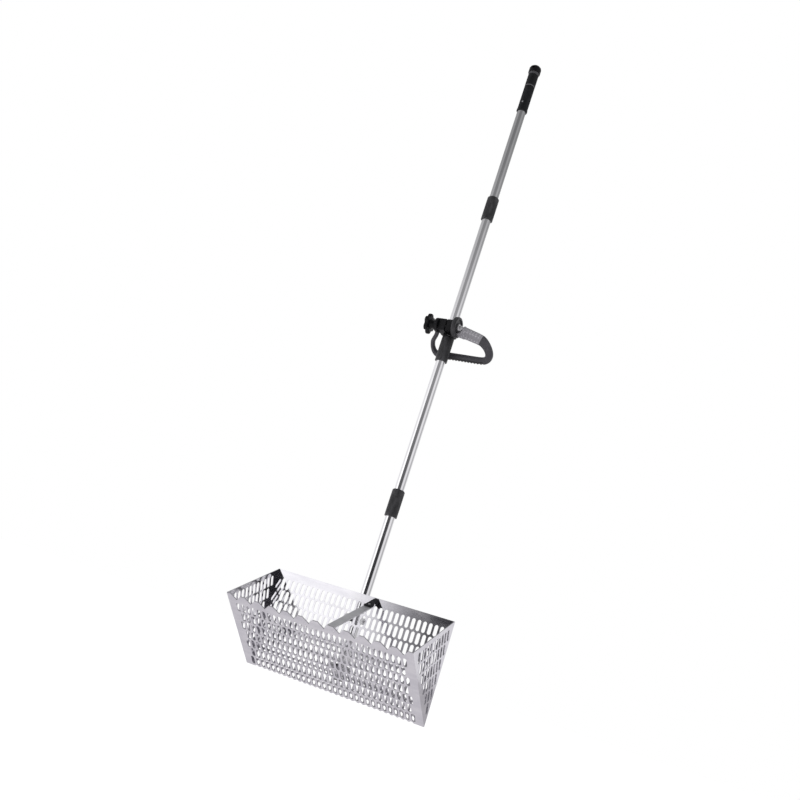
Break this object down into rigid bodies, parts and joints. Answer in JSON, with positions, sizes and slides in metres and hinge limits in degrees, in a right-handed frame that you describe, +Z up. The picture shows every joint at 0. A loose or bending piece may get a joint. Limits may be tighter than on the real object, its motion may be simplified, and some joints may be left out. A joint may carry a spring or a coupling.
{
  "type": "long-handled sand scoop",
  "caption": "Wedge-shaped slotted basket with a toothed lip on a screw-together pole, with an end grip and a clamp-on loop handle for the second hand.",
  "frame": {"origin": "centre of the hang hole in the cap of the end grip, on the pole axis", "axes": "+Z up along the pole from the basket to the end grip, +X along the basket's long side towards the wide end of the loop handle, +Y away from the toothed front panel"},
  "size_m": [0.5, 0.2453, 1.839],
  "materials": {
    "basket_steel": "satin stainless sheet",
    "bracket_steel": "black coated",
    "tube_steel": "polished stainless tube",
    "fastener_steel": "stainless",
    "black_plastic": "moulded, fine texture",
    "grip_plastic": "moulded, soft",
    "ring_rubber": "plain",
    "insert_brass": "turned"
  },
  "bodies": {
    "basket": {"back_panel": "basket_steel", "front_panel": "basket_steel", "side_panel_left": "basket_steel", "side_panel_right": "basket_steel", "brace_strap": "basket_steel", "brace_bracket": "bracket_steel", "brace_rivets": "fastener_steel", "pole_saddles": "fastener_steel", "saddle_bolts": "fastener_steel", "saddle_nuts": "fastener_steel", "saddle_washers": "fastener_steel", "pole_foot_plug": "black_plastic", "tube_1": "tube_steel", "connector_1": "black_plastic"},
    "seal_1": {"o_ring_1": "ring_rubber"},
    "section_2": {"tube_2": "tube_steel", "connector_2": "black_plastic"},
    "seal_2": {"o_ring_2": "ring_rubber"},
    "section_3": {"tube_3": "tube_steel", "connector_3": "black_plastic"},
    "seal_3": {"o_ring_3": "ring_rubber"},
    "section_4": {"tube_4": "tube_steel", "end_grip": "grip_plastic", "grip_ring": "black_plastic", "grip_cap": "black_plastic", "grip_screw": "fastener_steel"},
    "liner": {"clamp_liner": "black_plastic"},
    "clamp": {"clamp_body": "black_plastic", "clamp_bolt": "fastener_steel", "nut_washer": "fastener_steel", "lock_nut": "fastener_steel", "eye_disc_left": "ring_rubber", "eye_disc_right": "ring_rubber"},
    "loop": {"loop_handle": "grip_plastic"},
    "knob_seat": {"knob_washer": "fastener_steel"},
    "knob": {"star_knob": "black_plastic", "knob_insert": "insert_brass"}
  },
  "joints": [
    {"name": "seal_1_rise", "type": "slide", "parent": "basket", "child": "seal_1", "axis": [0, 0, 1], "range_m": [0, 0.012]},
    {"name": "section_2_unscrew", "type": "hinge", "parent": "seal_1", "child": "section_2", "pos_m": [0, 0, 0], "axis": [0, 0, 1], "range_deg": [0, 1083]},
    {"name": "seal_2_rise", "type": "slide", "parent": "section_2", "child": "seal_2", "axis": [0, 0, 1], "range_m": [0, 0.012]},
    {"name": "section_3_unscrew", "type": "hinge", "parent": "seal_2", "child": "section_3", "pos_m": [0, 0, 0], "axis": [0, 0, 1], "range_deg": [0, 1083]},
    {"name": "seal_3_rise", "type": "slide", "parent": "section_3", "child": "seal_3", "axis": [0, 0, 1], "range_m": [0, 0.012]},
    {"name": "section_4_unscrew", "type": "hinge", "parent": "seal_3", "child": "section_4", "pos_m": [0, 0, 0], "axis": [0, 0, 1], "range_deg": [0, 1083]},
    {"name": "clamp_height", "type": "slide", "parent": "section_3", "child": "liner", "axis": [0, 0, 1], "range_m": [0, 0.32]},
    {"name": "clamp_turn", "type": "hinge", "parent": "liner", "child": "clamp", "pos_m": [0, 0, -0.854], "axis": [0, 0, 1], "continuous": true},
    {"name": "loop_tilt", "type": "hinge", "parent": "clamp", "child": "loop", "pos_m": [0, -0.029, -0.854], "axis": [1, 0, 0], "range_deg": [0, 92]},
    {"name": "knob_back_off", "type": "slide", "parent": "clamp", "child": "knob_seat", "axis": [-1, 0, 0], "range_m": [0, 0.0025]},
    {"name": "knob_turn", "type": "hinge", "parent": "knob_seat", "child": "knob", "pos_m": [0, -0.029, -0.854], "axis": [-1, 0, 0], "range_deg": [0, 722]}
  ],
  "couplings": [
    {"joint": "section_2_unscrew", "follows": "seal_1_rise", "rad_per_m": 1570.8},
    {"joint": "section_3_unscrew", "follows": "seal_2_rise", "rad_per_m": 1570.8},
    {"joint": "section_4_unscrew", "follows": "seal_3_rise", "rad_per_m": 1570.8},
    {"joint": "knob_turn", "follows": "knob_back_off", "rad_per_m": 5026.5}
  ]
}
